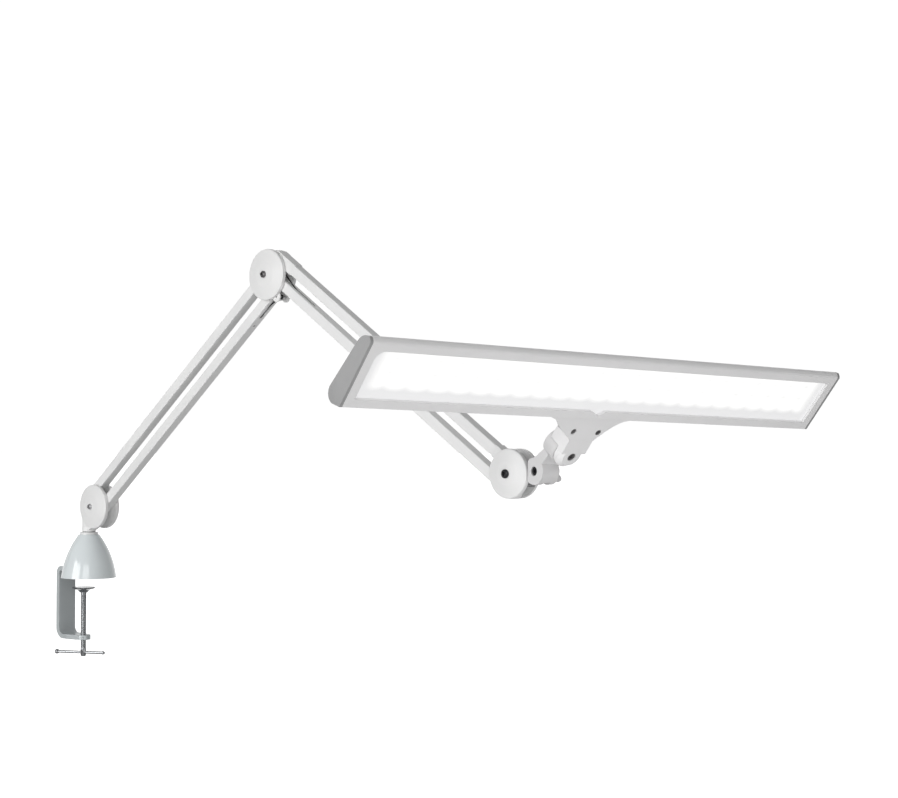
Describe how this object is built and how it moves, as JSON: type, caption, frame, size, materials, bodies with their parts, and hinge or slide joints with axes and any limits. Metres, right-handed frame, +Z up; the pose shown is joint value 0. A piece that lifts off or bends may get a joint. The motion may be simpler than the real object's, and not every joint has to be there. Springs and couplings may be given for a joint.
{
  "type": "swing arm desk lamp",
  "caption": "Clamp-on task lamp: two parallel-linkage arms on a swivel post carry a long flat lit head that pans, tilts and turns.",
  "frame": {"origin": "centre of the round seat's underside, on the swivel post's axis, where the lamp rests on the table top", "axes": "+X along the arms, away from the clamp's strap; +Z up the post; +Y to the arms' left"},
  "size_m": [0.9793, 0.604, 0.4967],
  "materials": {
    "white_paint": "satin",
    "arm_aluminium": "white satin powder coat",
    "white_plastic": "satin",
    "bell_plastic": "gloss",
    "steel": "satin",
    "clamp_chrome": "polished",
    "black_steel": "black oxide",
    "black_plastic": "matt",
    "felt": "matt",
    "lens": "opal",
    "circuit": "solder mask",
    "led": "phosphor"
  },
  "bodies": {
    "clamp": {"clamp_frame": "white_paint", "seat_pad": "felt", "bell_cover": "bell_plastic", "post_socket": "white_paint"},
    "pressure_pad": {"clamp_pad": "clamp_chrome"},
    "screw": {"clamp_screw": "clamp_chrome"},
    "bar": {"sliding_bar": "clamp_chrome"},
    "shoulder": {"swivel_post": "steel", "swivel_washer": "black_plastic", "shoulder_bracket": "white_paint", "shoulder_plates": "white_paint", "shoulder_cover_front": "white_plastic", "shoulder_cover_rear": "white_plastic", "shoulder_screws": "steel", "shoulder_pins": "steel"},
    "lower_arm_top": {"lower_arm_top_tube": "arm_aluminium", "lower_arm_top_ends": "white_plastic"},
    "lower_arm_bottom": {"lower_arm_bottom_tube": "arm_aluminium", "lower_arm_bottom_ends": "white_plastic", "lower_arm_spring": "steel", "lower_arm_hook": "steel"},
    "elbow": {"elbow_plates": "white_paint", "elbow_cover_front": "white_plastic", "elbow_cover_rear": "white_plastic", "elbow_screws": "steel", "elbow_pins": "steel"},
    "upper_arm_top": {"upper_arm_top_tube": "arm_aluminium", "upper_arm_top_ends": "white_plastic"},
    "upper_arm_bottom": {"upper_arm_bottom_tube": "arm_aluminium", "upper_arm_bottom_ends": "white_plastic", "upper_arm_spring": "steel", "upper_arm_hook": "steel"},
    "wrist": {"wrist_plates": "white_paint", "wrist_cover_front": "white_plastic", "wrist_cover_rear": "white_plastic", "wrist_screws": "black_steel", "wrist_pins": "steel", "wrist_bearings": "steel"},
    "yoke": {"head_yoke": "white_plastic", "pan_pin": "steel"},
    "link": {"tilt_link": "white_plastic", "tilt_bolt": "steel", "tilt_washers": "black_plastic"},
    "nut": {"wing_nut": "white_plastic"},
    "head": {"neck_block": "white_plastic", "neck_screws": "steel", "swivel_screw": "steel", "front_frame": "white_plastic", "rear_housing": "white_plastic", "end_cap_left": "white_plastic", "end_cap_right": "white_plastic", "diffuser": "lens", "led_board": "circuit", "leds": "led", "driver_board": "circuit", "power_inlet": "black_plastic", "housing_screws": "steel"},
    "button": {"power_button": "white_plastic"}
  },
  "joints": [
    {"name": "clamp_screw_travel", "type": "slide", "parent": "clamp", "child": "pressure_pad", "axis": [0, 0, 1], "range_m": [-0.05, 0.012]},
    {"name": "clamp_screw_spin", "type": "hinge", "parent": "pressure_pad", "child": "screw", "pos_m": [-0.0105, 0, -0.06], "axis": [0, 0, 1], "range_deg": [-14402, 3458]},
    {"name": "sliding_bar_slide", "type": "slide", "parent": "screw", "child": "bar", "axis": [0.8829, 0.4695, 0], "range_m": [-0.0232, 0.03]},
    {"name": "base_swivel", "type": "hinge", "parent": "clamp", "child": "shoulder", "pos_m": [0, 0, 0.058], "axis": [0, 0, 1], "continuous": true},
    {"name": "lower_arm_lift", "type": "hinge", "parent": "shoulder", "child": "lower_arm_top", "pos_m": [0.0045, 0, 0.1024], "axis": [0, -1, 0], "range_deg": [-33, 46]},
    {"name": "lower_arm_link", "type": "hinge", "parent": "shoulder", "child": "lower_arm_bottom", "pos_m": [0.016, 0, 0.078], "axis": [0, -1, 0], "range_deg": [-33, 46], "deforming": ["lower_arm_hook", "lower_arm_spring"]},
    {"name": "elbow_level", "type": "hinge", "parent": "lower_arm_top", "child": "elbow", "pos_m": [0.34335, 0, 0.36713], "axis": [0, -1, 0], "range_deg": [-46, 33]},
    {"name": "upper_arm_lift", "type": "hinge", "parent": "elbow", "child": "upper_arm_top", "pos_m": [0.36664, 0, 0.38623], "axis": [0, -1, 0], "range_deg": [-20, 74]},
    {"name": "upper_arm_link", "type": "hinge", "parent": "elbow", "child": "upper_arm_bottom", "pos_m": [0.36224, 0, 0.36143], "axis": [0, -1, 0], "range_deg": [-20, 74], "deforming": ["upper_arm_hook", "upper_arm_spring"]},
    {"name": "wrist_level", "type": "hinge", "parent": "upper_arm_top", "child": "wrist", "pos_m": [0.7248, 0, 0.14828], "axis": [0, -1, 0], "range_deg": [-74, 20]},
    {"name": "head_pan", "type": "hinge", "parent": "wrist", "child": "yoke", "pos_m": [0.7378, 0, 0.14298], "axis": [0, 0, 1], "range_deg": [-6, 26]},
    {"name": "head_tilt", "type": "hinge", "parent": "yoke", "child": "link", "pos_m": [0.76184, -0.00419, 0.14608], "axis": [-0.1719, -0.9851, 0], "range_deg": [-60, 45]},
    {"name": "wing_nut_turn", "type": "hinge", "parent": "link", "child": "nut", "pos_m": [0.76184, -0.00419, 0.14608], "axis": [0.1719, 0.9851, 0], "continuous": true},
    {"name": "head_rotate", "type": "hinge", "parent": "link", "child": "head", "pos_m": [0.80597, -0.0119, 0.15818], "axis": [0.7612, -0.1329, -0.6347], "range_deg": [-50, 50]},
    {"name": "power_button_press", "type": "slide", "parent": "head", "child": "button", "axis": [0.6713, -0.1216, -0.7312], "range_m": [0, 0.0012], "stiffness_N_per_m": 800, "springref_m": -0.0006}
  ],
  "couplings": [
    {"joint": "clamp_screw_spin", "follows": "clamp_screw_travel", "rad_per_m": 5026.5},
    {"joint": "lower_arm_link", "follows": "lower_arm_lift", "ratio": 1},
    {"joint": "elbow_level", "follows": "lower_arm_lift", "ratio": -1},
    {"joint": "upper_arm_link", "follows": "upper_arm_lift", "ratio": 1},
    {"joint": "wrist_level", "follows": "upper_arm_lift", "ratio": -1}
  ]
}
